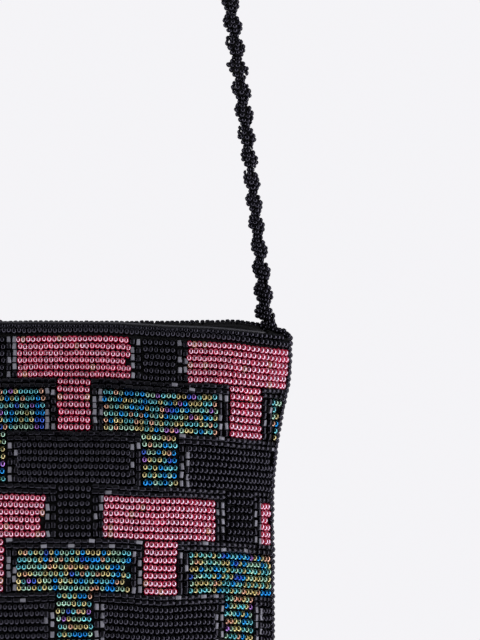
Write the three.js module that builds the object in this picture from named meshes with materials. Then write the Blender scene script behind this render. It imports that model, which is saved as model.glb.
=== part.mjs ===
// A beaded crossbody bag hanging from its strap. Millimetres, +Z up.
// The origin is the underside of the strap's top bend, where a hook or a shoulder carries the bag.
// The bag is a pouch of two beaded cloth panels: the patterned one faces -Y, the plain one +Y.
// An edging of beads joins them down both sides and along the bottom, and a row of beads rolls
// over each panel's top edge. The filled pouch is puffed like a pillow, so its sides and bottom
// draw in between the corners. The strap is a rope of beads sewn to the mouth's two corners.
import * as THREE from "three";

// Pouch
const panelWidth = 177.4; // one panel across the mouth, without the edging
const panelHeight = 190; // from the top edge to the bottom corners
const pouchDepth = 53; // over both panels at the fullest place
const sideDraw = 5.6; // how far each side is drawn in at its waist
const bottomDraw = 4.5; // how far the middle of the bottom is drawn up
const rimDrop = 3.6; // scale of the rise and fall of the mouth's edges
const panelThickness = 2.6; // cloth and beads together
const gap = 0.3; // left between pieces that touch

// Lining, which shows inside the mouth
const liningDepth = 24;
const liningThickness = 0.8;
const liningReach = 0.91; // share of the panel's width that it runs across

// Beaded edges
const rimDiameter = 2.4;
const edgingWidth = 2; // the side edging, outwards from the panels
const edgingDepth = 5.4; // and front to back, over both panels' edges

// Strap
const strapDiameter = 5.2;
const strapDrop = 600; // from the origin down to the strap's lower ends
const strapInset = 5.5; // from a panel's side to the middle of the rope's end
const strapBend = 10; // radius of the top bend at the rope's centre

// Facets
const panelColumns = 26;
const panelRows = 20;
const liningRows = 4;
const rimSteps = 24;
const rimSides = 8;
const edgingSides = 8;
const strapSides = 10;
const strapStepsPerPoint = 2;

// The pouch from the mouth down. draw is a share of sideDraw, full a share of pouchDepth / 2.
// square says how far out the swell stays full before it rounds back to the side seam.
const pouchSections = [
  { down: 0.0, draw: 0.0, full: 0.42, square: 9.0 },
  { down: 0.05, draw: 0.04, full: 0.49, square: 8.0 },
  { down: 0.1, draw: 0.35, full: 0.62, square: 6.5 },
  { down: 0.17, draw: 0.75, full: 0.78, square: 5.0 },
  { down: 0.26, draw: 1.0, full: 0.91, square: 3.8 },
  { down: 0.45, draw: 0.97, full: 1.0, square: 3.2 },
  { down: 0.65, draw: 0.97, full: 0.97, square: 3.2 },
  { down: 0.8, draw: 0.85, full: 0.8, square: 3.6 },
  { down: 0.91, draw: 0.45, full: 0.5, square: 5.0 },
  { down: 0.97, draw: 0.12, full: 0.26, square: 6.0 },
  { down: 1.0, draw: 0.0, full: 0.12, square: 6.0 },
];

// The mouth's two edges from the middle to a corner. front and back are shares of rimDrop.
const rimSections = [
  { across: 0.0, front: -0.18, back: 0.3 },
  { across: 0.38, front: -0.2, back: 0.3 },
  { across: 0.6, front: -0.46, back: 0.31 },
  { across: 0.74, front: -0.58, back: 0.36 },
  { across: 0.83, front: -0.72, back: 0.4 },
  { across: 0.9, front: -0.86, back: 0.18 },
  { across: 0.95, front: -0.93, back: -0.1 },
  { across: 1.0, front: -1.0, back: -0.45 },
];

// Soft dents beside each side seam. reach is a share of the half width, depth of panelThickness.
const sideDents = [
  { down: 0.27, height: 0.045, reach: 0.34, depth: 0.75 },
  { down: 0.5, height: 0.05, reach: 0.22, depth: 0.4 },
  { down: 0.73, height: 0.05, reach: 0.28, depth: 0.5 },
];

// The rope from its lower end up. rise is a share of strapDrop, out of strapReach.
const strapRoute = [
  { rise: 0.0, out: 1.0 },
  { rise: 0.021, out: 0.989 },
  { rise: 0.065, out: 0.956 },
  { rise: 0.109, out: 0.92 },
  { rise: 0.158, out: 0.875 },
  { rise: 0.3, out: 0.746 },
  { rise: 0.45, out: 0.609 },
  { rise: 0.6, out: 0.472 },
  { rise: 0.75, out: 0.336 },
  { rise: 0.87, out: 0.227 },
  { rise: 0.95, out: 0.154 },
];

const front = -1;
const back = 1;
const seamFace = gap / 2 + panelThickness; // a panel's outer face at the seam, from the seam plane

// A smooth curve through one column of a table, flat at its ends and at its highs and lows
function tableCurve(table, along, column) {
  const x = table.map((row) => row[along]);
  const y = table.map((row) => row[column]);
  const last = table.length - 1;
  const slope = y.map((_, i) => {
    if (i === 0 || i === last) return 0;
    const before = (y[i] - y[i - 1]) / (x[i] - x[i - 1]);
    const after = (y[i + 1] - y[i]) / (x[i + 1] - x[i]);
    return before * after <= 0 ? 0 : (2 * before * after) / (before + after);
  });
  return (at) => {
    const held = Math.min(Math.max(at, x[0]), x[last]);
    const i = Math.min(x.findLastIndex((start) => start <= held), last - 1);
    const span = x[i + 1] - x[i];
    const t = (held - x[i]) / span;
    const rise = t * t * (3 - 2 * t);
    const ease = t * (1 - t);
    return y[i] + (y[i + 1] - y[i]) * rise + span * ease * (slope[i] * (1 - t) - slope[i + 1] * t);
  };
}

const drawAt = tableCurve(pouchSections, "down", "draw");
const fullAt = tableCurve(pouchSections, "down", "full");
const squareAt = tableCurve(pouchSections, "down", "square");
const rimAt = {
  [front]: tableCurve(rimSections, "across", "front"),
  [back]: tableCurve(rimSections, "across", "back"),
};

const halfWidthAt = (v) => panelWidth / 2 - sideDraw * drawAt(v);

// The strap's lower ends stand on the back rim, which is highest under their inner sides.
const strapReach = panelWidth / 2 - strapInset;
const strapInnerSide = (2 * strapReach - strapDiameter) / panelWidth;
const rimRadius = rimDiameter / 2;
const rimLevel = -strapDrop - gap - rimRadius - rimDrop * rimAt[back](strapInnerSide);
const panelTop = rimLevel - rimRadius - gap;

// Height on a panel: u runs from -1 to 1 across it and v from 0 at the mouth to 1 at the bottom
function heightAt(side, u, v) {
  const across = Math.abs(u);
  const mouthShape = rimDrop * rimAt[side](across) * (1 - v) ** 2;
  const bottomShape = bottomDraw * (1 - across ** 2.5) * Math.max(v, 0) ** 2;
  return panelTop - panelHeight * v + mouthShape + bottomShape;
}

// How far the panel's outer face stands from the seam plane
function swellAt(u, v) {
  const across = Math.abs(u);
  const crown = (1 - across ** squareAt(v)) ** 0.8;
  const seamShare = Math.min((1 - v) * 40, 1); // the bottom seam is as flat as the side seams
  const full = Math.max((pouchDepth / 2) * fullAt(v) - seamFace, 0) * seamShare;
  let swell = seamFace + full * crown;
  for (const dent of sideDents) {
    const inward = (across - (1 - dent.reach)) / dent.reach;
    if (inward <= 0) continue;
    const along = Math.exp(-(((v - dent.down) / dent.height) ** 2));
    swell -= panelThickness * dent.depth * along * Math.sin(Math.PI * inward) ** 2;
  }
  return swell;
}

function outerPoint(side, u, v) {
  return new THREE.Vector3(u * halfWidthAt(v), side * swellAt(u, v), heightAt(side, u, v));
}

// A point inside the panel's outer face by inset, straight in from the surface
function insetPoint(side, u, v, inset) {
  const step = 0.004;
  const point = outerPoint(side, u, v);
  const across = outerPoint(side, Math.min(u + step, 1), v);
  across.sub(outerPoint(side, Math.max(u - step, -1), v));
  const down = outerPoint(side, u, Math.min(v + step, 1));
  down.sub(outerPoint(side, u, Math.max(v - step, 0)));
  const inward = across.cross(down);
  if (v <= 0) inward.z = 0; // the top edge is cut level
  inward.normalize();
  if (inward.y * side > 0) inward.negate();
  return point.addScaledVector(inward, inset);
}

// Closes two grids of points, an outer and an inner one, into one solid
function closedSheet(outer, inner, side) {
  const rows = outer.length;
  const columns = outer[0].length;
  const points = [...outer.flat(), ...inner.flat()];
  const outerIndex = (r, c) => r * columns + c;
  const innerIndex = (r, c) => rows * columns + r * columns + c;
  const faces = [];
  const quad = (a, b, c, d) => faces.push([a, b, c], [a, c, d]);
  for (let r = 0; r < rows - 1; r++) {
    for (let c = 0; c < columns - 1; c++) {
      quad(outerIndex(r, c), outerIndex(r + 1, c), outerIndex(r + 1, c + 1), outerIndex(r, c + 1));
      quad(innerIndex(r, c), innerIndex(r, c + 1), innerIndex(r + 1, c + 1), innerIndex(r + 1, c));
    }
    const end = columns - 1;
    quad(outerIndex(r, 0), innerIndex(r, 0), innerIndex(r + 1, 0), outerIndex(r + 1, 0));
    quad(outerIndex(r, end), outerIndex(r + 1, end), innerIndex(r + 1, end), innerIndex(r, end));
  }
  for (let c = 0; c < columns - 1; c++) {
    const end = rows - 1;
    quad(outerIndex(0, c), outerIndex(0, c + 1), innerIndex(0, c + 1), innerIndex(0, c));
    quad(outerIndex(end, c), innerIndex(end, c), innerIndex(end, c + 1), outerIndex(end, c + 1));
  }
  // The back panel is the front one's mirror image, so its faces are wound the other way.
  const wound = side === front ? faces : faces.map(([a, b, c]) => [a, c, b]);
  const geometry = new THREE.BufferGeometry().setFromPoints(points);
  geometry.setIndex(wound.flat());
  geometry.computeVertexNormals();
  return geometry;
}

// Shares from -1 to 1, closer together towards both ends, where the pouch curves most
function acrossShares(count, reach) {
  return Array.from({ length: count + 1 }, (_, i) => {
    const t = (2 * i) / count - 1;
    return reach * t * (1.3 - 0.3 * t * t);
  });
}

function panelGeometry(side) {
  const shares = acrossShares(panelColumns, 1);
  const rows = Array.from({ length: panelRows + 1 }, (_, r) => {
    const t = r / panelRows;
    return t + 0.07 * Math.sin(2 * Math.PI * t) * (t > 0.5 ? -1 : -0.6);
  });
  const outer = rows.map((v) => shares.map((u) => outerPoint(side, u, v)));
  const inner = rows.map((v) =>
    shares.map((u) => {
      if (Math.abs(u) < 1 && v < 1) return insetPoint(side, u, v, panelThickness);
      const edge = outerPoint(side, u, v);
      return edge.setY((side * gap) / 2);
    }),
  );
  return closedSheet(outer, inner, side);
}

function liningGeometry(side) {
  const shares = acrossShares(panelColumns, liningReach);
  const top = -rimDiameter / panelHeight;
  const bottom = liningDepth / panelHeight;
  const rows = Array.from({ length: liningRows + 1 }, (_, r) => top + ((bottom - top) * r) / liningRows);
  const outerInset = panelThickness + 2 * gap;
  const grid = (inset) => rows.map((v) => shares.map((u) => insetPoint(side, u, v, inset)));
  return closedSheet(grid(outerInset), grid(outerInset + liningThickness), side);
}

// A rope along a path: depth is its size along Y on a path in the seam plane
function ropeGeometry(path, steps, sides, depth, width) {
  const section = new THREE.Shape();
  section.absellipse(0, 0, depth / 2, width / 2, 0, 2 * Math.PI, false, 0);
  const curveSegments = sides / 2; // three.js gives an ellipse two sides for each of these
  return new THREE.ExtrudeGeometry(section, { steps, curveSegments, extrudePath: path });
}

// A curve whose steps follow its chosen points, so that they are closest where it bends
function chosenPath(points) {
  const path = new THREE.CatmullRomCurve3(points, false, "centripetal");
  path.getUtoTmapping = (share) => share;
  return path;
}

function rimGeometry(side) {
  const reach = 1 - rimRadius / panelWidth; // its ends stay clear of the side edging
  const points = acrossShares(rimSteps, reach).map((u) => {
    const point = outerPoint(side, u, 0);
    const y = point.y - (side * panelThickness) / 2;
    return new THREE.Vector3(point.x, y, point.z + gap + rimRadius);
  });
  return ropeGeometry(chosenPath(points), rimSteps, rimSides, rimDiameter, rimDiameter);
}

// Down the left seam, along the bottom and up the right seam, round the outside of the panels
function edgingGeometry() {
  const off = gap + edgingWidth / 2;
  const top = rimLevel - rimDrop + rimRadius / 2;
  const rows = [0.02, 0.06, 0.11, 0.17, 0.23, 0.3, 0.4, 0.5, 0.6, 0.7, 0.78, 0.85, 0.91, 0.96];
  const sidePoint = (v) => new THREE.Vector3(halfWidthAt(v) + off, 0, heightAt(front, 1, v));
  const corner = new THREE.Vector3(halfWidthAt(1), 0, heightAt(front, 1, 1));
  const turn = [10, 45, 80].map((degrees) => {
    const a = THREE.MathUtils.degToRad(degrees);
    return new THREE.Vector3(corner.x + off * Math.cos(a), 0, corner.z - off * Math.sin(a));
  });
  const bottom = [0.95, 0.85, 0.7, 0.5, 0.25].map(
    (u) => new THREE.Vector3(u * halfWidthAt(1), 0, heightAt(front, u, 1) - off),
  );
  const start = new THREE.Vector3(halfWidthAt(0) + off, 0, top);
  const right = [start, ...rows.map(sidePoint), ...turn, ...bottom];
  const middle = new THREE.Vector3(0, 0, heightAt(front, 0, 1) - off);
  const mirrored = right.map((p) => new THREE.Vector3(-p.x, p.y, p.z));
  const points = [...mirrored, middle, ...right.reverse()];
  return ropeGeometry(chosenPath(points), points.length - 1, edgingSides, edgingDepth, edgingWidth);
}

function strapGeometry() {
  const top = strapDiameter / 2;
  const foot = insetPoint(back, (2 * strapReach) / panelWidth, 0, panelThickness / 2);
  const lower = strapRoute.map(
    ({ rise, out }) =>
      new THREE.Vector3(out * strapReach, (1 - rise) * foot.y, (rise - 1) * strapDrop),
  );
  const bend = [82, 55, 28].map((degrees) => {
    const a = THREE.MathUtils.degToRad(degrees);
    return new THREE.Vector3(strapBend * Math.sin(a), 0, top - strapBend * (1 - Math.cos(a)));
  });
  const right = [...lower, ...bend];
  const left = right.map((p) => new THREE.Vector3(-p.x, p.y, p.z)).reverse();
  const points = [...right, new THREE.Vector3(0, 0, top), ...left];
  const steps = strapStepsPerPoint * (points.length - 1);
  return ropeGeometry(chosenPath(points), steps, strapSides, strapDiameter, strapDiameter);
}

function finish(colour, roughness) {
  return new THREE.MeshStandardMaterial({ color: colour, roughness, metalness: 0 });
}

const jetBeads = 0x121114;

function piece(name, geometry, material) {
  const mesh = new THREE.Mesh(geometry, material);
  mesh.name = name;
  return mesh;
}

const bag = new THREE.Group();
bag.add(
  piece("front_panel", panelGeometry(front), finish(0x8d3b50, 0.35)),
  piece("back_panel", panelGeometry(back), finish(jetBeads, 0.35)),
  piece("front_lining", liningGeometry(front), finish(0x1a191c, 0.6)),
  piece("back_lining", liningGeometry(back), finish(0x1a191c, 0.6)),
  piece("front_rim", rimGeometry(front), finish(jetBeads, 0.3)),
  piece("back_rim", rimGeometry(back), finish(jetBeads, 0.3)),
  piece("seam_edging", edgingGeometry(), finish(jetBeads, 0.3)),
  piece("strap", strapGeometry(), finish(jetBeads, 0.3)),
);

export default bag;
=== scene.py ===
from math import cos, pi, radians, sin

import bmesh
import bpy
import numpy as np
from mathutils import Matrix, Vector


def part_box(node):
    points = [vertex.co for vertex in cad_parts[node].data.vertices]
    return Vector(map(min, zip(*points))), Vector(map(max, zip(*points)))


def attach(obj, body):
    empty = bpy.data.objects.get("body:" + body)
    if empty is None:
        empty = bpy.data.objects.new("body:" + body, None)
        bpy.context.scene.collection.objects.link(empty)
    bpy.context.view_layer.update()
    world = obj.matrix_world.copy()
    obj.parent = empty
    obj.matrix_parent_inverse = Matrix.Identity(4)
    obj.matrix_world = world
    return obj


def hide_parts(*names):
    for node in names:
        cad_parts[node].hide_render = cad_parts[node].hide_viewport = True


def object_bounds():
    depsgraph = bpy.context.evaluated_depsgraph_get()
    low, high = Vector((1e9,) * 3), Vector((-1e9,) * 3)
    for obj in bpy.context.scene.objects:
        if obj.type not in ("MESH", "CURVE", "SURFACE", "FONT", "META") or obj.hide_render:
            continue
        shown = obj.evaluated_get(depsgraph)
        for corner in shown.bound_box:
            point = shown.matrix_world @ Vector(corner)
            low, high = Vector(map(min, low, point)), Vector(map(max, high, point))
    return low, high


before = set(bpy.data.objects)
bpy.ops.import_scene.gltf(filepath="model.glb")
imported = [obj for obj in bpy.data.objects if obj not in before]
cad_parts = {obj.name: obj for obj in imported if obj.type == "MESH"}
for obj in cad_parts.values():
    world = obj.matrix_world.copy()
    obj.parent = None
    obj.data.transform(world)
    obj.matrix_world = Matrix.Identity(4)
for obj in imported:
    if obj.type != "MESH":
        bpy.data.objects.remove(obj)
cad_low, cad_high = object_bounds()

# The pouch's cloth
# Two panels of black cotton, one in front and one behind, sewn together down the sides and
# along the bottom. The filled pouch is puffed like a pillow, so its edges draw in between the
# corners. The beads are sewn on to this cloth and hide nearly all of it.
mm = 0.001
front_low, front_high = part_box("front_panel")
back_low, back_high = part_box("back_panel")
panel_width = front_high.x - front_low.x
panel_height = 190 * mm
pouch_depth = back_high.y - front_low.y
side_draw = 5.6 * mm
bottom_draw = 4.5 * mm
rim_drop = 3.6 * mm
panel_thickness = 2.6 * mm
gap = 0.3 * mm
seam_face = gap / 2 + panel_thickness
bottom_curve = 2.5  # the power by which the bottom edge curves up to its corners
shoulder_curve = 0.8  # the power by which the swell falls off to the sides
swell_closing = 40  # the swell closes over the last fortieth of the panel's height

# down, draw as a share of side_draw, full as a share of half the pouch's depth, and square,
# which says how far out the swell stays full
pouch_sections = np.array([
    (0.0, 0.0, 0.42, 9.0), (0.05, 0.04, 0.49, 8.0), (0.1, 0.35, 0.62, 6.5), (0.17, 0.75, 0.78, 5.0),
    (0.26, 1.0, 0.91, 3.8), (0.45, 0.97, 1.0, 3.2), (0.65, 0.97, 0.97, 3.2), (0.8, 0.85, 0.8, 3.6),
    (0.91, 0.45, 0.5, 5.0), (0.97, 0.12, 0.26, 6.0), (1.0, 0.0, 0.12, 6.0),
])
# across, then the front's and the back's mouth edge as shares of rim_drop
rim_sections = np.array([
    (0.0, -0.18, 0.3), (0.38, -0.2, 0.3), (0.6, -0.46, 0.31), (0.74, -0.58, 0.36),
    (0.83, -0.72, 0.4), (0.9, -0.86, 0.18), (0.95, -0.93, -0.1), (1.0, -1.0, -0.45),
])
# down, height, reach as a share of the half width, depth as a share of the panel's thickness
side_dents = [(0.27, 0.045, 0.34, 0.75), (0.5, 0.05, 0.22, 0.4), (0.73, 0.05, 0.28, 0.5)]


def table_curve(x, y):
    """A smooth curve through one column of a table, flat at its ends and at its highs and lows"""
    steps = np.diff(y) / np.diff(x)
    slope = np.zeros(len(x))
    before, after = steps[:-1], steps[1:]
    turning = before * after <= 0
    slope[1:-1] = np.where(turning, 0, 2 * before * after / np.where(turning, 1, before + after))

    def at(value):
        held = np.clip(value, x[0], x[-1])
        i = np.clip(np.searchsorted(x, held, side="right") - 1, 0, len(x) - 2)
        span = x[i + 1] - x[i]
        t = (held - x[i]) / span
        ease = t * (1 - t)
        bend = slope[i] * (1 - t) - slope[i + 1] * t
        return y[i] + (y[i + 1] - y[i]) * t * t * (3 - 2 * t) + span * ease * bend

    return at


draw_at, full_at, square_at = (table_curve(pouch_sections[:, 0], pouch_sections[:, i]) for i in (1, 2, 3))
rim_at = {side: table_curve(rim_sections[:, 0], rim_sections[:, i]) for side, i in ((-1, 1), (1, 2))}
panel_top = front_high.z - rim_drop * rim_at[-1](0.0)


def ramp_up(value, start, span, most=1):
    """0 up to start, then rising by 1 over each span, up to most"""
    return np.clip((value - start) / span, 0, most)


def half_width_at(v):
    return panel_width / 2 - side_draw * draw_at(v)


def height_at(side, u, v):
    across = np.minimum(np.abs(u), 1)
    mouth = rim_drop * rim_at[side](across) * (1 - v) ** 2
    bottom = bottom_draw * (1 - across**bottom_curve) * np.clip(v, 0, None) ** 2
    return panel_top - panel_height * v + mouth + bottom


def panel_point(side, u, v):
    """A point of the beads' outer surface: u runs from -1 to 1 across, v from 0 at the mouth down"""
    across = np.minimum(np.abs(u), 1)
    swell = np.clip(pouch_depth / 2 * full_at(v) - seam_face, 0, None)
    swell = swell * np.clip((1 - v) * swell_closing, 0, 1)
    y = seam_face + swell * (1 - across ** square_at(v)) ** shoulder_curve
    for down, height, reach, depth in side_dents:
        inward = ramp_up(across, 1 - reach, reach)
        dent = np.exp(-(((v - down) / height) ** 2)) * np.sin(pi * inward) ** 2
        y = y - panel_thickness * depth * dent
    return np.stack([u * half_width_at(v), side * y, height_at(side, u, v)], axis=-1)


def unit(vectors):
    return vectors / np.linalg.norm(vectors, axis=-1, keepdims=True)


def panel_axes(side, u, v):
    """The directions along a row of beads, from row to row, and out of the cloth, as columns"""
    step = 0.002
    along = panel_point(side, np.minimum(u + step, 1), v) - panel_point(side, np.maximum(u - step, -1), v)
    down = panel_point(side, u, v + step) - panel_point(side, u, v - step)
    along = unit(along)
    outward = unit(np.cross(along, down)) * -side
    outward[np.sum(outward * [0, side, 0], axis=-1) < 0] *= -1
    return np.stack([along, np.cross(outward, along), outward], axis=-1)


def inset_point(side, u, v, inset):
    return panel_point(side, u, v) - panel_axes(side, u, v)[..., 2] * inset


def select_only(piece):
    bpy.ops.object.select_all(action="DESELECT")
    piece.select_set(True)
    bpy.context.view_layer.objects.active = piece


def apply_modifier(piece, kind, **values):
    select_only(piece)
    modifier = piece.modifiers.new(kind.title(), kind)
    for key, value in values.items():
        setattr(modifier, key, value)
    bpy.ops.object.modifier_apply(modifier=modifier.name)


def cloth_grid(name, columns, rows, place):
    """A plane cut into a grid, each of whose corners is moved to place(u, v)"""
    bpy.ops.object.select_all(action="DESELECT")
    bpy.ops.mesh.primitive_grid_add(x_subdivisions=columns, y_subdivisions=rows, size=2)
    piece = bpy.context.object
    piece.name = piece.data.name = name
    flat = np.zeros(len(piece.data.vertices) * 3)
    piece.data.vertices.foreach_get("co", flat)
    flat = flat.reshape(-1, 3)
    placed = place(flat[:, 0], (1 - flat[:, 1]) / 2)
    piece.data.vertices.foreach_set("co", placed.ravel())
    piece.data.update()
    bpy.ops.object.shade_smooth()
    return piece


def face_outwards(piece, outward_y):
    """Turns a sheet's faces so that most of them look the way that outward_y points"""
    select_only(piece)
    if sum(face.normal.y * face.area for face in piece.data.polygons) * outward_y < 0:
        bpy.ops.object.mode_set(mode="EDIT")
        bpy.ops.mesh.select_all(action="SELECT")
        bpy.ops.mesh.flip_normals()
        bpy.ops.object.mode_set(mode="OBJECT")


def shader(name, **values):
    """A material with a Principled BSDF whose named sockets are set"""
    material = bpy.data.materials.new(name)
    material.use_nodes = True
    bsdf = material.node_tree.nodes["Principled BSDF"]
    for key, value in values.items():
        bsdf.inputs[key.replace("_", " ")].default_value = value
    return material, material.node_tree, bsdf


def plain_weave():
    """A group: bump and shade of a plain woven cloth"""
    group = bpy.data.node_groups.new("plain weave", "ShaderNodeTree")
    for socket in ("Threads", "Depth"):
        group.interface.new_socket(socket, in_out="INPUT", socket_type="NodeSocketFloat")
    group.interface.new_socket("Shade", in_out="OUTPUT", socket_type="NodeSocketFloat")
    group.interface.new_socket("Normal", in_out="OUTPUT", socket_type="NodeSocketVector")
    nodes, links = group.nodes, group.links
    given = nodes.new("NodeGroupInput")
    put = nodes.new("NodeGroupOutput")
    coordinates = nodes.new("ShaderNodeTexCoord")
    heights = []
    for direction in ("X", "Z"):
        wave = nodes.new("ShaderNodeTexWave")
        wave.bands_direction = direction
        wave.inputs["Distortion"].default_value = 0.6
        links.new(coordinates.outputs["Object"], wave.inputs["Vector"])
        links.new(given.outputs["Threads"], wave.inputs["Scale"])
        heights.append(wave)
    woven = nodes.new("ShaderNodeMath")
    woven.operation = "MULTIPLY"
    links.new(heights[0].outputs["Fac"], woven.inputs[0])
    links.new(heights[1].outputs["Fac"], woven.inputs[1])
    bump = nodes.new("ShaderNodeBump")
    bump.inputs["Strength"].default_value = 0.6
    links.new(given.outputs["Depth"], bump.inputs["Distance"])
    links.new(woven.outputs["Value"], bump.inputs["Height"])
    links.new(woven.outputs["Value"], put.inputs["Shade"])
    links.new(bump.outputs["Normal"], put.inputs["Normal"])
    return group


weave = plain_weave()


def cloth_material(name, dark, light, threads, depth, **values):
    """A woven cloth that goes from dark between its threads to light on them"""
    material, tree, bsdf = shader(name, **values)
    woven = tree.nodes.new("ShaderNodeGroup")
    woven.node_tree = weave
    woven.inputs["Threads"].default_value = threads
    woven.inputs["Depth"].default_value = depth
    ramp = tree.nodes.new("ShaderNodeValToRGB")
    ramp.color_ramp.elements[0].color = (*dark, 1)
    ramp.color_ramp.elements[1].color = (*light, 1)
    tree.links.new(woven.outputs["Shade"], ramp.inputs["Fac"])
    tree.links.new(ramp.outputs["Color"], bsdf.inputs["Base Color"])
    tree.links.new(woven.outputs["Normal"], bsdf.inputs["Normal"])
    return material


cotton = cloth_material(
    "black cotton", (0.002, 0.002, 0.002), (0.006, 0.006, 0.007), 900, 0.2 * mm, Roughness=0.9
)
cloth_level = 1.5 * mm  # from the beads' outer surface down to the cloth between them
cloth_thickness = 1.0 * mm
cloth_rise = {-1: 1.1 * mm, 1: 1.7 * mm}  # of the top edge, up between the rim's beads
cloth_columns = 48
cloth_rows = 44
at_edge = 0.999  # what lies further out than this share of the panel is on its edge


def crowd_outwards(u):
    """Moves a grid's columns towards the panel's sides, where the pouch curves most"""
    return u * (1.3 - 0.3 * u * u)


def backing_cloth(name, node, side):
    """One panel's cloth, drawn in to the seam at its sides and bottom"""

    def place(u, v):
        u = crowd_outwards(u)
        placed = inset_point(side, u, v, cloth_level)
        at_seam = (np.abs(u) > at_edge) | (v > at_edge)
        placed[at_seam] = panel_point(side, u, v)[at_seam]
        placed[at_seam, 1] = side * (seam_face - cloth_level)
        # The top edge's rise falls off at its corners.
        raised = cloth_rise[side] * (1 - 0.8 * u**20)
        placed[..., 2] += np.where(v < 1 - at_edge, raised, 0)
        return placed

    cloth = cloth_grid(name, cloth_columns, cloth_rows, place)
    face_outwards(cloth, side)
    apply_modifier(cloth, "SOLIDIFY", thickness=cloth_thickness, offset=-1)
    cloth.data.materials.append(cotton)
    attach(cloth, "root")
    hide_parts(node)


backing_cloth("front_backing", "front_panel", -1)
backing_cloth("back_backing", "back_panel", 1)

# The lining
# Black satin inside both panels. Its top edge is turned over in a soft roll below the beaded
# rim. The front satin is painted several times lighter than the back's, a painted sheen, so that
# its roll shows as a thin light line above the front rim.
lining_depth = 24 * mm
lining_reach = 0.95
lining_thickness = 0.35 * mm
lining_inset = panel_thickness + 2 * gap + lining_thickness
roll_radius = {-1: 0.3 * mm, 1: 0.5 * mm}
roll_middle = {-1: 2.15 * mm, 1: 0.2 * mm}  # above the panel's top edge
roll_turn = pi * 1.35
lining_columns = 60
lining_rows = 16
roll_rows = 9  # of the lining's rows, those that make its roll
ripple_size = 0.25 * mm
ripple_run = 8 * mm  # over which the ripples grow to their full size, below the roll
# The front satin's colours are a painted sheen, lighter than the back satin's black.
satin = {
    side: cloth_material(name, dark, light, 1500, 0.03 * mm, Roughness=0.45)
    for side, name, dark, light in (
        (-1, "black satin painted lighter", (0.035, 0.035, 0.04), (0.07, 0.07, 0.08)),
        (1, "black satin", (0.003, 0.003, 0.004), (0.008, 0.008, 0.009)),
    )
}


def lining_sheet(name, node, side):
    """One side of the lining: its first rows make the roll and the others hang below it"""

    def place(u, v):
        row = np.rint(v * lining_rows)
        u = lining_reach * crowd_outwards(u)
        sheet_down = lining_depth * ramp_up(row, roll_rows, lining_rows - roll_rows)
        placed = inset_point(side, u, sheet_down / panel_height, lining_inset)
        turn = roll_turn * np.clip((roll_rows - row) / roll_rows, 0, 1)
        in_roll = row <= roll_rows
        placed[in_roll, 1] += (side * roll_radius[side] * (1 - np.cos(turn)))[in_roll]
        placed[in_roll, 2] += (roll_middle[side] + roll_radius[side] * np.sin(turn))[in_roll]
        # The satin isn't stretched tight: it ripples a little below its roll.
        ripple = 1 + np.sin(u * 41 + 1.3 * np.sin(u * 13))
        placed[:, 1] -= side * ripple_size * ripple * ramp_up(sheet_down, 0, ripple_run)
        return placed

    sheet = cloth_grid(name, lining_columns, lining_rows, place)
    face_outwards(sheet, -side)
    apply_modifier(sheet, "SOLIDIFY", thickness=lining_thickness, offset=0)
    sheet.data.materials.append(satin[side])
    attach(sheet, "root")
    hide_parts(node)


lining_sheet("front_satin", "front_lining", -1)
lining_sheet("back_satin", "back_lining", 1)

# The front's seed beads
# Round glass beads of the common 11/0 size, threaded in short rows and couched to the cloth, so
# each bead's hole lies along its row. They fill a common tiling of bars, each with a stem below
# its middle: pink, iris and black in turn down the bag, every row of bars half a step across.
bead_pitch = 1.52 * mm
bead_width = 2.13 * mm
bead_length = 1.44 * mm
bead_chamfer = 0.4 * mm
bead_cut = -0.01 * mm  # the height, from its middle, at which a couched bead is cut off below
row_pitch = 2.1 * mm
bar_rows = 6
stem_rows = 7
outline_width = 3.22 * mm  # of the two lines of cut beads between the bars
cut_width = 1.88 * mm
tier_height = bar_rows * row_pitch + outline_width
block_period = 50.6 * mm
first_tier = 1.75 * mm
bead_sink = bead_width / 2 - 0.02 * mm  # a bead's middle below the beads' outer surface
cut_sink = 1.1 * mm
rng = np.random.default_rng(11)


def bead_template(sides, length, width, chamfer, cut=None):
    """One bead along X, its rim bevelled. It is cut flat below, at cut, where the cloth hides it."""
    bpy.ops.object.select_all(action="DESELECT")
    bpy.ops.mesh.primitive_cylinder_add(
        vertices=sides, radius=width / 2, depth=length, rotation=(pi, pi / 2, 0)
    )
    bead = bpy.context.object
    bpy.ops.object.transform_apply(location=False, rotation=True, scale=False)
    bpy.ops.object.mode_set(mode="EDIT")
    bpy.ops.mesh.select_mode(type="EDGE")
    bpy.ops.mesh.select_all(action="DESELECT")
    edit = bmesh.from_edit_mesh(bead.data)
    for edge in edit.edges:
        first, second = (corner.co.x for corner in edge.verts)
        edge.select = abs(first - second) < length / 2
    bmesh.update_edit_mesh(bead.data)
    bpy.ops.mesh.bevel(offset=chamfer, segments=1, affect="EDGES")
    if cut is not None:
        bpy.ops.mesh.select_all(action="SELECT")
        bpy.ops.mesh.bisect(plane_co=(0, 0, cut), plane_no=(0, 0, -1), use_fill=True, clear_outer=True)
    bpy.ops.object.mode_set(mode="OBJECT")
    mesh = bead.data
    bpy.data.objects.remove(bead)
    return mesh


def painted_crown_shades(template, crown):
    """Painted shade: the share of its colour a bead shows at each corner of its faces, the given share on
    its top, standing in for the dark room that the crown reflects
    """
    points = np.array([template.vertices[loop.vertex_index].co for loop in template.loops])
    high = np.clip(points[:, 2] / points[:, 2].max(), 0, 1) ** 2
    end = np.abs(points[:, 0]) > 0.85 * points[:, 0].max()
    return 1 - (1 - crown) * np.where(end, 0, high)


def painted_flat_glints(template, dim):
    """Painted glint for a cut bead: only the flat side on top shows its full colour, a painted
    reflection, and the other sides the share dim of it
    """
    return np.concatenate([
        np.full(len(face.vertices), 1.0 if face.normal.z > 0.95 else dim) for face in template.polygons
    ])


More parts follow.
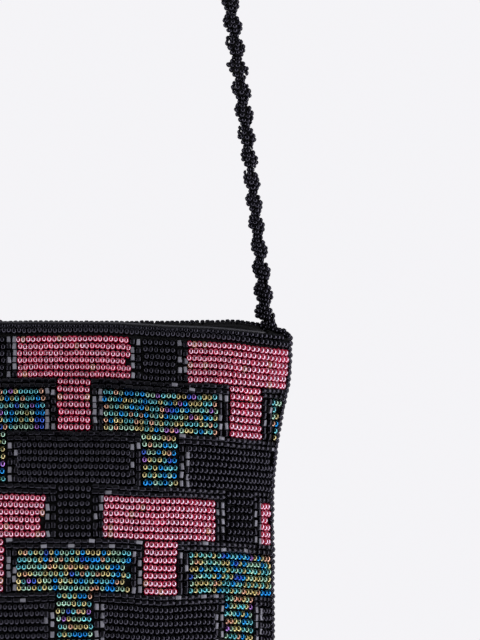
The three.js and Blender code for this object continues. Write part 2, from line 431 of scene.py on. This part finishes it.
def lay_beads(name, template, places, axes, sizes, colours, material, smooth, shades):
    """Copies of one bead as one piece: axes are each copy's directions, as matrix columns"""
    count, corners = len(places), len(template.vertices)
    shape = np.zeros(corners * 3)
    template.vertices.foreach_get("co", shape)
    shape = shape.reshape(1, corners, 3) * sizes[:, None, :]
    points = np.einsum("nij,nkj->nki", axes, shape) + places[:, None, :]
    around = np.zeros(len(template.loops), int)
    template.loops.foreach_get("vertex_index", around)
    starts = np.zeros(len(template.polygons), int)
    template.polygons.foreach_get("loop_start", starts)
    copy = np.arange(count)[:, None]
    mesh = bpy.data.meshes.new(name)
    mesh.vertices.add(count * corners)
    mesh.vertices.foreach_set("co", points.ravel())
    mesh.loops.add(count * len(around))
    mesh.loops.foreach_set("vertex_index", (around[None, :] + copy * corners).ravel())
    mesh.polygons.add(count * len(starts))
    mesh.polygons.foreach_set("loop_start", (starts[None, :] + copy * len(around)).ravel())
    mesh.update(calc_edges=True)
    mesh.validate()
    # Each corner's colour is the bead's own colour times its painted shade or painted glint.
    colour = mesh.color_attributes.new("bead_colour_and_shade", "FLOAT_COLOR", "CORNER")
    shown = np.ones((count, len(around), 4), np.float32)
    shown[:, :, :3] = colours[:, None, :] * shades[None, :, None]
    colour.data.foreach_set("color", shown.ravel())
    piece = bpy.data.objects.new(name, mesh)
    bpy.context.scene.collection.objects.link(piece)
    select_only(piece)
    if smooth:
        bpy.ops.object.shade_smooth()
    mesh.materials.append(material)
    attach(piece, "root")
    return piece


overhang = 1.4 * mm  # by which the rows' ends reach out over the panel's edge, to the edging
overhang_start = 0.94
first_sag = 0.3 * mm
lower_rise = 1.8 * mm
lower_rise_at = 79 * mm
side_push = 0.7 * mm
side_crowding = 2.75 * mm
# Each pair says where a change begins and over what run it comes in. The first is in shares of
# the panel's height and the second of its half width.
turning_under = (0.4, 0.2)
near_sides = (0.6, 0.3)
below_mouth = (30 * mm, 15 * mm)
push_zone = (62 * mm, 8 * mm)
crowding_zone = (66.5 * mm, 15 * mm)


def row_point(side, u, v):
    """As panel_point, with the rows drawn out over the panel's side edges"""
    place = panel_point(side, u, v)
    near_edge = ramp_up(np.abs(u), overhang_start, 1 - overhang_start)
    place[..., 0] += overhang * np.sign(u) * near_edge**2
    return place


class ClothRows:
    """The paths of the rows of beads across one panel"""

    def __init__(self, side):
        self.side = side
        self.u = np.linspace(-1, 1, 241)
        self.v = np.linspace(0, 1, 161)
        sheet = panel_point(side, self.u[:, None], self.v[None, :])
        steps = np.diff(sheet, axis=1)
        # Seen from the front the upper rows are evenly spaced. Further down, where the pouch
        # turns under, they are spaced along the cloth.
        turned_under = ramp_up(self.v[1:], *turning_under)
        runs = -steps[..., 2] * (1 - turned_under) + np.linalg.norm(steps, axis=-1) * turned_under
        self.down = np.concatenate([np.zeros((len(self.u), 1)), np.cumsum(runs, axis=1)], axis=1)
        self.known = {}

    def at(self, t):
        """The row at t below the mouth: its u, v, x in the chart of blocks, and run along the cloth"""
        key = round(t * 1e6)
        if key not in self.known:
            # Towards the sides the first rows sag a little and the lower ones rise.
            side = ramp_up(np.abs(self.u), *near_sides)
            level = t + side * (first_sag - lower_rise * min(t / lower_rise_at, 1))
            v = np.array([np.interp(at, run, self.v, right=2) for at, run in zip(level, self.down)])
            path = row_point(self.side, self.u, np.minimum(v, 1))
            steps = np.linalg.norm(np.diff(path, axis=0), axis=-1)
            run = np.concatenate([[0], np.cumsum(steps)])
            # The blocks beside the seam are pushed outwards near the mouth and crowd further down.
            x = path[:, 0]
            low = ramp_up(t, *below_mouth)
            pushed = side_push * ramp_up(np.abs(x), *push_zone)
            crowded = side_crowding * ramp_up(np.abs(x), *crowding_zone, most=2) ** 1.5
            chart_x = x + np.sign(x) * (low * crowded - (1 - low) * pushed)
            self.known[key] = self.u, v, chart_x, run - run[len(run) // 2]
        return self.known[key]


on_front = ClothRows(-1)
# length along a row and depth down the rows to a radian, and size, in millimetres
row_waves = [(7, 14, 0.15), (13, 5, 0.09), (24, 23, 0.14), (4, 9, 0.07)]
wave_phases = rng.uniform(0, 2 * pi, (4, 2))


def row_waver(s, t):
    """How far a bead lies off its straight row: the rows wander a little from stitch to stitch"""
    off = 0
    for (length, depth, size), (phase, other) in zip(row_waves, wave_phases):
        off = off + size * mm * np.sin(s / (length * mm) + phase) * np.cos(t / (depth * mm) + other)
    return off


def tilted(axes, tilt):
    """Turns each bead by small angles about its own axes"""
    x, y, z = tilt.T
    one = np.ones(len(x))
    turn = np.array([[one, -z, y], [z, one, -x], [-y, x, one]]).transpose(2, 0, 1)
    return np.einsum("nij,njk->nik", axes, turn)


bead_tilt = radians(5)
bead_slack = 0.06 * mm  # how far a bead lies off its place, as a rule
thread_slack = 0.05 * mm  # the same along its row
short_rows = 0.1  # the share of a bar's rows that are a bead short
ragged_shift = 0.25 * mm
least_row = 0.6  # the shortest row that still holds a bead, as a share of the pitch


class Beads:
    """Collects the places of one kind of bead, row by row"""

    def __init__(self):
        self.places, self.axes, self.sizes = [], [], []

    def add(self, places, axes, loose=1.0, spread=0.035):
        """Adds beads, each tilted by chance and sized by chance about the usual size"""
        count = len(places)
        self.places.append(places)
        self.axes.append(tilted(axes, rng.normal(0, bead_tilt * loose, (count, 3))))
        self.sizes.append(1 + rng.normal(0, spread, (count, 3)))

    def row(self, rows, t, start, end, pitch=bead_pitch, loose=1.0, ragged=False, **how):
        """Fills the row at t with beads between two distances from the middle line

        A ragged row lies a little off, and it may be a bead short.
        """
        _, _, x, run = rows.at(t)
        start, end = max(start, x[0]), min(end, x[-1])
        if end - start < pitch * least_row:
            return
        first, last = np.interp([start, end], x, run)
        count = max(int(round((last - first) / pitch)), 1)
        s = first + (np.arange(count) + 0.5) * (last - first) / count
        if ragged:
            s = s[: count - int(rng.random() < short_rows)] + rng.normal(0, ragged_shift)
        self.strew(rows, t, s + rng.normal(0, thread_slack * loose, len(s)), loose, **how)

    def strew(self, rows, t, s, loose=1.0, turned=False, sink=bead_sink, off=0.0):
        """Adds beads to the row at t, at distances s along it, off below it

        The holes of turned ones point from row to row.
        """
        u, v, _, run = rows.at(t)
        u, v = np.interp(s, run, u), np.interp(s, run, v)
        kept = (v < at_edge) & (np.abs(s) < run[-1])
        if not kept.any():
            return
        s, u, v = s[kept], u[kept], v[kept]
        count = len(s)
        axes = panel_axes(rows.side, u, v)
        place = row_point(rows.side, u, v)
        place = place - axes[..., 2] * (sink + rng.normal(0, bead_slack * loose, (count, 1)))
        waver = row_waver(s, t) + rng.normal(0, bead_slack * loose, count) - off
        place = place + axes[..., 1] * waver[:, None]
        if turned:
            axes = np.stack([axes[..., 1], -axes[..., 0], axes[..., 2]], axis=-1)
        self.add(place, axes, loose)

    def lay(self, name, template, colours, material, slot, smooth=True, crown=1.0, shades=None):
        """Makes one piece of all the beads that were added"""
        places = np.concatenate(self.places)
        piece = lay_beads(
            name, template, places, np.concatenate(self.axes), np.concatenate(self.sizes),
            colours(len(places)), material, smooth,
            painted_crown_shades(template, crown) if shades is None else shades,
        )
        return piece


pink, iris, black = "pink", "iris", "black"
colour_turn = [pink, iris, black]
half_bar = 16.75 * mm
half_stem = {pink: 4.85 * mm, iris: 5.25 * mm, black: 4.9 * mm}
column_pitch = 1.75 * mm
outline_gap = 0.35 * mm  # between a stem and the columns of cut beads beside it
line_levels = (0.27, 0.76)  # of the lines of cut beads, as shares of outline_width above the bars
cut_loose = 0.8
seam_margin = 0.8 * mm  # kept free of columns beside the seam
stem_gap = 0.2 * mm  # between a bar's underside and its stem's first row
plain_row_down = 0.25 * mm
plain_row_up = 0.7 * outline_width
front_beads = {pink: Beads(), iris: Beads(), black: Beads()}
cut_columns, cut_lines = Beads(), Beads()


def block_middles(tier):
    """The middles of a tier's bars, every other tier being shifted by half a period"""
    shift = 0.5 if tier % 2 == 0 else 0.0
    return (np.arange(-3, 4) + shift) * block_period


def bar(tier, middle, top):
    """A bar of seed beads in a tier's colour"""
    for row in range(bar_rows):
        t = top + (row + 0.5) * row_pitch
        beads = front_beads[colour_turn[tier % 3]]
        beads.row(on_front, t, middle - half_bar, middle + half_bar, ragged=True)


def stem(tier, middle, top):
    """The stem of the bar above, from that bar's underside to the next outline"""
    colour = colour_turn[(tier - 1) % 3]
    # The first tier's stems begin at the mouth, which cuts off the bars above them.
    start = top - outline_width + stem_gap if tier else top
    rows = stem_rows if tier else bar_rows
    pitch = (top + bar_rows * row_pitch - start) / rows
    half = half_stem[colour]
    for row in range(rows):
        lean = rng.normal(0, 0.2 * mm)
        t = start + (row + 0.5) * pitch
        front_beads[colour].row(on_front, t, middle - half + lean, middle + half + lean)
    return half


def outline_columns(middle, half, top):
    """Two columns of cut beads up each side of a stem"""
    height = bar_rows * row_pitch
    for side in (-1, 1):
        for column in (0.5, 1.5):
            count = rng.integers(5, 7)
            x_bead = middle + side * (half + outline_gap + column * column_pitch)
            for piece in range(count):
                t = top + height * (piece + 0.5) / count
                _, _, x, run = on_front.at(t)
                if abs(x_bead) < x[-1] - seam_margin:
                    s = np.interp([x_bead], x, run)
                    off = rng.normal(0, 0.15 * mm)
                    cut_columns.strew(on_front, t, s, cut_loose, turned=True, sink=cut_sink, off=off)


def outline_lines(middle, half, top):
    """Two lines of cut beads above a tier's bars, from one stem to the next"""
    start, end = middle + half + outline_gap, middle + block_period - half - outline_gap
    for level in line_levels:
        t = top - level * outline_width
        pitch = rng.uniform(1.94, 2.08) * mm
        cut_lines.row(on_front, t, start, end, pitch, loose=cut_loose, sink=cut_sink)


tier, tier_top = 0, first_tier
while tier_top < on_front.down.max():
    for block in block_middles(tier):
        bar(tier, block, tier_top)
    for block in block_middles(tier):
        stem_middle = block + block_period / 2
        half = stem(tier, stem_middle, tier_top)
        outline_columns(stem_middle, half, tier_top)
        if tier:
            outline_lines(stem_middle, half, tier_top)
    tier, tier_top = tier + 1, tier_top + tier_height

# One plain row runs all the way across above the first bars, and one below the last.
front_beads[black].row(on_front, plain_row_down, -panel_width, panel_width)
front_beads[black].row(on_front, tier_top - plain_row_up, -panel_width, panel_width)


def handled_gloss():
    """A group: roughness that is a little higher where a bead is scuffed or dusty"""
    group = bpy.data.node_groups.new("handled gloss", "ShaderNodeTree")
    for socket in ("Clean", "Scuffed"):
        group.interface.new_socket(socket, in_out="INPUT", socket_type="NodeSocketFloat")
    group.interface.new_socket("Roughness", in_out="OUTPUT", socket_type="NodeSocketFloat")
    nodes, links = group.nodes, group.links
    given = nodes.new("NodeGroupInput")
    put = nodes.new("NodeGroupOutput")
    coordinates = nodes.new("ShaderNodeTexCoord")
    noise = nodes.new("ShaderNodeTexNoise")
    noise.inputs["Scale"].default_value = 420
    spread = nodes.new("ShaderNodeMapRange")
    spread.inputs["From Min"].default_value = 0.4
    spread.inputs["From Max"].default_value = 0.7
    links.new(coordinates.outputs["Object"], noise.inputs["Vector"])
    links.new(noise.outputs["Fac"], spread.inputs["Value"])
    links.new(given.outputs["Clean"], spread.inputs["To Min"])
    links.new(given.outputs["Scuffed"], spread.inputs["To Max"])
    links.new(spread.outputs["Result"], put.inputs["Roughness"])
    return group


gloss = handled_gloss()


def glass_material(name, clean, scuffed, **values):
    """Glass beads, each in the colour that the corners of its own faces carry, their painted shade and
    painted glints included
    """
    material, tree, bsdf = shader(name, **values)
    colour = tree.nodes.new("ShaderNodeAttribute")
    colour.attribute_name = "bead_colour_and_shade"
    tree.links.new(colour.outputs["Color"], bsdf.inputs["Base Color"])
    worn = tree.nodes.new("ShaderNodeGroup")
    worn.node_tree = gloss
    worn.inputs["Clean"].default_value = clean
    worn.inputs["Scuffed"].default_value = scuffed
    tree.links.new(worn.outputs["Roughness"], bsdf.inputs["Roughness"])
    return material


def mixed_colours(mix, spread):
    """A function that deals colours out to beads: mix is a list of shares and colours"""

    def deal(count):
        shares = np.array([share for share, _ in mix])
        colours = np.array([colour for _, colour in mix])
        dealt = colours[rng.choice(len(mix), count, p=shares / shares.sum())]
        return dealt * np.exp(rng.normal(0, spread, (count, 1)))

    return deal


pink_mix = mixed_colours([(0.95, (0.70, 0.012, 0.060)), (0.05, (0.70, 0.26, 0.12))], 0.15)
iris_mix = mixed_colours(
    [
        (0.26, (0.18, 0.60, 0.65)), (0.21, (0.40, 0.63, 0.47)), (0.22, (0.66, 0.56, 0.26)),
        (0.14, (0.03, 0.35, 0.85)), (0.09, (0.78, 0.44, 0.30)), (0.04, (0.42, 0.20, 0.60)),
        (0.04, (0.07, 0.16, 0.66)),
    ],
    0.15,
)
black_mix = mixed_colours([(1.0, (0.0025, 0.0025, 0.003))], 0.2)

pink_glass = glass_material(
    "pink lustre glass", 0.09, 0.2, IOR=4.0, Specular_Tint=(0.9, 0.82, 1.0, 1),
    Coat_Weight=0.55, Coat_Roughness=0.12, Coat_IOR=2.2,
)
iris_glass = glass_material("iris glass", 0.08, 0.2, Metallic=1.0)
blue_gleam = (0.8, 0.77, 1.0, 1)
jet_glass = glass_material("jet glass", 0.035, 0.10, IOR=1.53, Specular_Tint=blue_gleam)
cut_glass = glass_material("satin cut glass", 0.16, 0.28, IOR=1.42, Specular_Tint=blue_gleam)

front_bead = bead_template(8, bead_length, bead_width, bead_chamfer, cut=bead_cut)
# The pink and iris beads carry painted shade on their crowns.
front_beads[pink].lay("pink_beads", front_bead, pink_mix, pink_glass, "pink_beads", crown=0.1)
front_beads[iris].lay("iris_beads", front_bead, iris_mix, iris_glass, "iris_beads", crown=0.35)
front_beads[black].lay("front_black_beads", front_bead, black_mix, jet_glass, "black_beads")

# The outlines of the blocks
# Longer beads cut with six flat sides, of dark satin glass. They are threaded end to end and
# couched in pairs of lines round each bar and stem. A bead that lies with a flat side outwards
# has that side painted pale grey, a painted reflection, and its other sides painted dim; the
# others are nearly black.
cut_length = 1.92 * mm
cut_chamfer = 0.1 * mm
half_side = pi / 6  # the furthest that a bead can be rolled away from its nearest flat side
cut_bead = bead_template(6, cut_length, cut_width, cut_chamfer)


def lay_cut_beads(name, beads, glint_share):
    """A bead that lies with a flat side outwards has that side painted pale grey, a painted reflection.
    The others are rolled at random and keep their own near-black.
    """
    count = sum(len(axes) for axes in beads.axes)
    glinting = rng.random(count) < glint_share
    roll = np.where(glinting, rng.normal(0, 0.1, count), rng.uniform(-half_side, half_side, count))
    # The pale greys are painted reflection on beads that lie with a flat side outwards; the near-blacks
    # are the glass's own colour.
    greys = np.where(glinting, rng.uniform(0.11, 0.2, count), rng.uniform(0.002, 0.008, count))
    rolled = np.concatenate(beads.axes)
    cosine, sine = np.cos(roll)[:, None], np.sin(roll)[:, None]
    across, out = rolled[..., 1].copy(), rolled[..., 2].copy()
    rolled[..., 1] = cosine * across + sine * out
    rolled[..., 2] = cosine * out - sine * across
    beads.axes = [rolled]
    tinted = greys[:, None] * np.array([0.96, 0.96, 1.06])
    beads.lay(
        name, cut_bead, lambda _: tinted, cut_glass, "cut_beads",
        smooth=False, shades=painted_flat_glints(cut_bead, 0.06),
    )


lay_cut_beads("outline_column_beads", cut_columns, glint_share=0.5)
lay_cut_beads("outline_line_beads", cut_lines, glint_share=0.06)

# The back's seed beads
# The same black glass beads, couched to the cloth in plain rows all the way down, as the back of
# such a bag usually is. It lies against the wearer and has no pattern.
first_back_row = 0.35 * mm
back_pitch = 1.57 * mm
back_chamfer = 0.42 * mm
on_back = ClothRows(1)
back_bead = bead_template(6, bead_length, bead_width, back_chamfer, cut=bead_cut)
back_tops = np.arange(first_back_row, on_back.down.max(), row_pitch)
for name, tops in zip(("back_upper_beads", "back_lower_beads"), np.array_split(back_tops, 2)):
    back_rows = Beads()
    for t in tops:
        back_rows.row(on_back, t, -panel_width, panel_width, pitch=back_pitch)
    back_rows.lay(name, back_bead, black_mix, jet_glass, "black_beads")

# The rims
# One row of black seed beads along the top edge of each panel, threaded on the edge itself and
# held down by small stitches between the beads.
rim_bead_width = {-1: 1.8 * mm, 1: 2.1 * mm}
rim_level = {-1: 1.1 * mm, 1: 1.4 * mm}  # the beads' middle above the panel's top edge
rim_reach = 1 - 1.2 * mm / panel_width
rim_inset = 0.55 * panel_thickness
rim_chamfer = 0.34 * mm
rim_lean = 0.4  # by which the beads lean outwards
# The back rim's row turns down at each corner into the seam's edging: the turn's points, from its end
rim_corner = np.array([(0.9, -0.5, -0.7), (1.5, -1.0, -1.7)]) * mm


def spaced(path, pitch):
    """Points spaced evenly along a path, and the path's direction at each"""
    run = np.concatenate([[0], np.cumsum(np.linalg.norm(np.diff(path, axis=0), axis=-1))])
    count = int(round(run[-1] / pitch))
    at = (np.arange(count) + 0.5) * run[-1] / count
    step = pitch / 4
    places, ahead, behind = (
        np.stack([np.interp(run_at, run, path[:, i]) for i in range(3)], axis=-1)
        for run_at in (at, at + step, at - step)
    )
    return places, unit(ahead - behind)


def axes_from(along, outward):
    """A bead's directions as columns: along its hole, across it, and as near outward as can be"""
    across = unit(np.cross(outward, along))
    return np.stack([along, across, np.cross(along, across)], axis=-1)


def rim_beads(name, node, side):
    """The row of beads along one panel's top edge"""
    u = np.linspace(-rim_reach, rim_reach, 400)
    path = panel_point(side, u, np.zeros_like(u))
    path[:, 1] -= side * rim_inset
    path[:, 2] += rim_level[side]
    if side == 1:
        corner = path[-1] + rim_corner
        path = np.concatenate([corner[::-1] * [-1, 1, 1], path, corner])
    places, along = spaced(path, bead_pitch)
    places = places + rng.normal(0, thread_slack, places.shape)
    beads = Beads()
    beads.add(places, axes_from(along, np.array([[0.0, side * rim_lean, 1.0]])))
    template = bead_template(8, bead_length, rim_bead_width[side], rim_chamfer)
    piece = beads.lay(name, template, black_mix, jet_glass, "black_beads")
    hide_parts(node)


rim_beads("front_rim_beads", "front_rim", -1)
rim_beads("back_rim_beads", "back_rim", 1)

# The seam edging
# The two panels' edges are whipped together with short threads of three seed beads, each going
# from the front round the edge to the back, a little slanted, over a black cord.
edging_top = panel_top - rim_drop + 2.1 * mm
edging_bead_width = 1.75 * mm
edging_chamfer = 0.38 * mm
stitch_pitch = 1.72 * mm
stitch_turns = np.radians([-56, 0, 56])  # a stitch's three beads round the edge, from the front
stitch_off = 0.45 * mm  # the middle of a stitch outside the seam
stitch_radius = 0.98 * mm
stitch_slant = 0.5 * mm  # along the seam, to a radian of turn
bead_slant = 0.25
core_off = 0.75 * mm
core_radius = 1.15 * mm
core_depth = 1.5  # the cord is wider from front to back by this


def edging_path(off):
    """Down the right side, off outside the seam, round the corner and along to the middle"""
    v = np.linspace(0, 1, 200)
    side = np.stack([half_width_at(v) + off, 0 * v, height_at(-1, np.ones_like(v), v)], axis=-1)
    side[0, 2] = edging_top
    turn = np.radians(np.linspace(10, 80, 8))
    out = panel_width / 2 + off * np.cos(turn)
    corner = np.stack([out, 0 * turn, side[-1, 2] - off * np.sin(turn)], axis=-1)
    u = np.linspace(0.99, 0, 120)
    bottom = np.stack([u * panel_width / 2, 0 * u, height_at(-1, u, np.ones_like(u)) - off], axis=-1)
    right = np.concatenate([side, corner, bottom])
    left = right[-2::-1] * [-1, 1, 1]
    return np.concatenate([right, left])


def cord_along(name, path, radius, material, swell=1.0, corners=1):
    """A cord along a path, closed at its ends, its radius times swell at each point"""
    curve = bpy.data.curves.new(name, "CURVE")
    curve.dimensions = "3D"
    curve.bevel_depth = radius
    curve.bevel_resolution = corners
    curve.use_fill_caps = True
    spline = curve.splines.new("POLY")
    spline.points.add(len(path) - 1)
    spline.points.foreach_set("co", np.concatenate([path, np.ones((len(path), 1))], axis=1).ravel())
    spline.points.foreach_set("radius", np.ones(len(path)) * swell)
    cord = bpy.data.objects.new(name, curve)
    bpy.context.scene.collection.objects.link(cord)
    select_only(cord)
    bpy.ops.object.convert(target="MESH")
    bpy.ops.object.shade_smooth()
    cord.data.materials.append(material)
    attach(cord, "root")
    return cord


thread = cloth_material(
    "black thread", (0.002, 0.002, 0.002), (0.012, 0.012, 0.013), 1300, 0.1 * mm, Roughness=0.85
)
core_places, _ = spaced(edging_path(core_off), stitch_pitch)
core_path = np.concatenate([core_places[:-1:2], core_places[-1:]])
edging_core = cord_along("edging_core", core_path, core_radius, thread)
bpy.ops.object.mode_set(mode="EDIT")
bpy.ops.mesh.select_all(action="SELECT")
bpy.ops.transform.resize(value=(1, core_depth, 1), center_override=(0, 0, 0))
bpy.ops.object.mode_set(mode="OBJECT")
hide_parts("seam_edging")

stitches, along = spaced(edging_path(stitch_off), stitch_pitch)
outside = unit(np.cross(along, [0, 1, 0]))
# Near the mouth the stitches lie closer in behind the ends of the rows.
half_depth = np.interp(panel_top - stitches[:, 2], [0, 18 * mm, 34 * mm], [1.35 * mm, 1.5 * mm, 1.9 * mm])
edging = Beads()
for turn in stitch_turns:
    places = stitches + outside * stitch_radius * cos(turn) + along * stitch_slant * turn
    places[:, 1] += half_depth * sin(turn)
    places = places + rng.normal(0, 0.07 * mm, places.shape)
    outward = outside * 2.0 * cos(turn) + np.array([0, 0.93 * sin(turn), 0])
    hole = unit(np.cross(along, outward) + along * bead_slant)
    edging.add(places, axes_from(hole, outward), loose=1.5)
edging_bead = bead_template(8, bead_length, edging_bead_width, edging_chamfer, cut=bead_cut)
edging.lay("edging_beads", edging_bead, black_mix, jet_glass, "black_beads")

# The strap
# A rope of small black seed beads sewn round a cord in rings of four to ten, which gives it
# even lumps. It is fuller near its feet, and each end is sewn to a corner of the back rim
# under a knot of beads.
strap_diameter = 5.2 * mm
strap_drop = 600 * mm
strap_reach = panel_width / 2 - 5.5 * mm
strap_bend = 10 * mm
lump_pitch = 6.8 * mm
ring_radii = [0.75 * mm, 1.2 * mm, 1.78 * mm, 1.92 * mm, 1.4 * mm]
ring_counts = [4, 6, 8, 8, 6]
first_ring = 2  # the place of the foot's ring in its lump
# heights above the foot, and by how much the rings there are wider and hold more beads
fatness_at = ([0, 12 * mm, 18 * mm, 50 * mm, 62 * mm], [1.25, 1.15, 0.95, 0.95, 1.15])
fullness_at = ([10 * mm, 26 * mm], [1.25, 1.0])
ring_slant = 0.4
strap_core_radius = 1.0 * mm
core_inset = 0.45 * mm  # of the cord's surface, inwards from the middles of the beads on it
least_core_radius = 0.7 * mm
strap_bead_width = 1.5 * mm
strap_bead_length = 1.28 * mm
strap_bead_chamfer = 0.3 * mm
# rise as a share of strap_drop, out of strap_reach
strap_route = np.array([
    (0.0, 1.0), (0.021, 0.989), (0.065, 0.956), (0.109, 0.92), (0.158, 0.875), (0.3, 0.746),
    (0.45, 0.609), (0.6, 0.472), (0.75, 0.336), (0.87, 0.227), (0.95, 0.154),
])
foot = inset_point(1, np.array([2 * strap_reach / panel_width]), np.zeros(1), panel_thickness / 2)[0]
rise, out = strap_route.T
lower = np.stack([out * strap_reach, (1 - rise) * foot[1], (rise - 1) * strap_drop], axis=-1)
bend_turn = np.radians(np.arange(82, -1, -6.0))
bend_top = strap_diameter / 2
bend_height = bend_top - strap_bend * (1 - np.cos(bend_turn))
bend = np.stack([strap_bend * np.sin(bend_turn), 0 * bend_turn, bend_height], axis=-1)
bend = np.concatenate([bend, [[0, 0, bend_top]]])
right_half = np.concatenate([lower, bend])
strap_path = np.concatenate([right_half, right_half[-2::-1] * [-1, 1, 1]])

rings, ring_along = spaced(strap_path, lump_pitch / len(ring_radii))
ring_in_lump = (np.arange(len(rings)) + first_ring) % len(ring_radii)
height = rings[:, 2] + strap_drop
fatness = np.interp(height, *fatness_at) * (1 + rng.normal(0, 0.03, len(rings)))
radii = np.array(ring_radii)[ring_in_lump] * fatness
counts = np.array(ring_counts)[ring_in_lump] * np.interp(height, *fullness_at)

# The cord is wrapped fuller under each lump.
core_points = np.concatenate([strap_path[:1], rings, strap_path[-1:]])
core_radii = np.clip(radii * 1.12 - core_inset, least_core_radius, None)
core_swell = np.pad(core_radii / strap_core_radius, 1, constant_values=1.0)
strap_core = cord_along("strap_core", core_points, strap_core_radius, thread, core_swell, corners=0)
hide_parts("strap")

# Each ring of beads lies half a bead on from the last one, and its plane is slanted.
half_beads = {"strap_right_beads": Beads(), "strap_left_beads": Beads()}
for number, (middle, along) in enumerate(zip(rings, ring_along)):
    radius = radii[number]
    count = round(counts[number])
    turn = 2 * pi * (np.arange(count) + number / 2 + rng.normal(0, 0.1)) / count
    turn += rng.normal(0, 0.06, count)
    sideways = unit(np.cross(along, [0, 1, 0]))
    deep = np.cross(along, sideways)
    outward = np.cos(turn)[:, None] * sideways + np.sin(turn)[:, None] * deep
    slant = -ring_slant * radius * np.cos(turn)[:, None] * along * np.sign(sideways[0])
    places = middle + outward * radius + slant + rng.normal(0, 0.07 * mm, (count, 3))
    hole = unit(np.cross(np.broadcast_to(along, outward.shape), outward) + 0.2 * along)
    name = "strap_right_beads" if middle[0] > 0 else "strap_left_beads"
    half_beads[name].add(places, axes_from(hole, outward), loose=2.5, spread=0.05)

# The knot of beads over each foot is sewn round and round in a spiral.
knot_count = 24
knot_size = np.array([2.0, 1.6, 1.5]) * mm
golden_angle = 2.39996  # in radians, from each bead to the next
for side, name in ((1, "strap_right_beads"), (-1, "strap_left_beads")):
    level = 1 - 2 * (np.arange(knot_count) + 0.5) / knot_count
    turn = np.arange(knot_count) * golden_angle
    level_radius = np.sqrt(1 - level**2)
    outward = np.stack([level_radius * np.cos(turn), level_radius * np.sin(turn), level], axis=-1)
    middle = np.array([side * (strap_reach + 0.8 * mm), foot[1] - 0.3 * mm, -strap_drop - 1.9 * mm])
    places = middle + outward * knot_size
    hole = unit(np.cross(outward, [0.3, 0.1, 1.0]))
    half_beads[name].add(places, axes_from(hole, outward), loose=3, spread=0.06)

strap_bead = bead_template(8, strap_bead_length, strap_bead_width, strap_bead_chamfer, cut=bead_cut)
for name, beads in half_beads.items():
    beads.lay(name, strap_bead, black_mix, jet_glass, "black_beads")

# Camera and studio
# A plain pale backdrop and floor. A tall soft light stands at each side, with weaker ones below
# and above, so that each bead shows bright sides and a dark crown, which on the pink and iris
# beads is deepened by painted shade. The camera stands level with the bag.
strap_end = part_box("strap")[0].z
camera_data = bpy.data.cameras.new("camera")
camera = bpy.data.objects.new("camera", camera_data)
bpy.context.scene.collection.objects.link(camera)
camera_data.sensor_width = 36
camera_data.lens = 255.9
camera_data.clip_end = 20
camera.location = (-0.0036, -1.3544, strap_end - 0.1005)
camera.rotation_euler = (radians(94.225), radians(0.1), radians(-3.325))
bpy.context.scene.camera = camera

bpy.ops.object.select_all(action="DESELECT")
bpy.ops.mesh.primitive_plane_add(size=2.4, location=(0, 0, cad_low.z - 1.2))
floor = bpy.context.object
floor.name = "floor"
floor_paint, _, _ = shader("pale floor", Base_Color=(0.85, 0.85, 0.88, 1), Roughness=0.9)
floor.data.materials.append(floor_paint)


def soft_light(name, place, target, width, height, power):
    """A rectangular light of some watts, turned towards target, that the camera doesn't see"""
    light = bpy.data.lights.new(name, "AREA")
    light.shape = "RECTANGLE"
    light.size = width
    light.size_y = height
    light.energy = power
    light.color = (0.94, 0.92, 1.0)
    lamp = bpy.data.objects.new(name, light)
    bpy.context.scene.collection.objects.link(lamp)
    lamp.location = place
    lamp.rotation_euler = (Vector(target) - Vector(place)).to_track_quat("-Z", "Y").to_euler()
    lamp.visible_camera = False


bag_level = (cad_low.z + strap_end) / 2
bag_front = (0, -0.1, bag_level)
soft_light("left_softbox", (-0.9, -0.25, bag_level), bag_front, 0.6, 1.3, 7.5)
soft_light("right_softbox", (0.9, -0.25, bag_level), bag_front, 0.6, 1.3, 8.5)
soft_light("low_softbox", (0, -0.45, bag_level - 0.7), bag_front, 1.3, 0.25, 2.6)
soft_light("top_softbox", (0, -0.15, bag_level + 1.0), (0, 0, bag_level), 1.3, 0.5, 0.8)

world = bpy.data.worlds.new("studio")
bpy.context.scene.world = world
world.use_nodes = True
sky = world.node_tree
rays = sky.nodes.new("ShaderNodeLightPath")


def set_sky(background, colour, strength):
    background.inputs["Color"].default_value = (*colour, 1)
    background.inputs["Strength"].default_value = strength
    return background.outputs["Background"]


def ray_choice(ray, chosen, other):
    """One light for this kind of ray and another for the rest"""
    choice = sky.nodes.new("ShaderNodeMixShader")
    sky.links.new(rays.outputs[ray], choice.inputs["Fac"])
    sky.links.new(other, choice.inputs[1])
    sky.links.new(chosen, choice.inputs[2])
    return choice.outputs["Shader"]


# The room reflects little light in the glass, and scatters more on to the cloth.
seen = set_sky(sky.nodes["Background"], (0.908, 0.902, 0.928), 1.0)
reflected = set_sky(sky.nodes.new("ShaderNodeBackground"), (0.95, 0.95, 1.0), 0.04)
scattered = set_sky(sky.nodes.new("ShaderNodeBackground"), (0.95, 0.95, 1.0), 0.8)
unseen = ray_choice("Is Glossy Ray", reflected, scattered)
room = ray_choice("Is Camera Ray", seen, unseen)
sky.links.new(room, sky.nodes["World Output"].inputs["Surface"])

bpy.context.scene.view_settings.view_transform = "Standard"
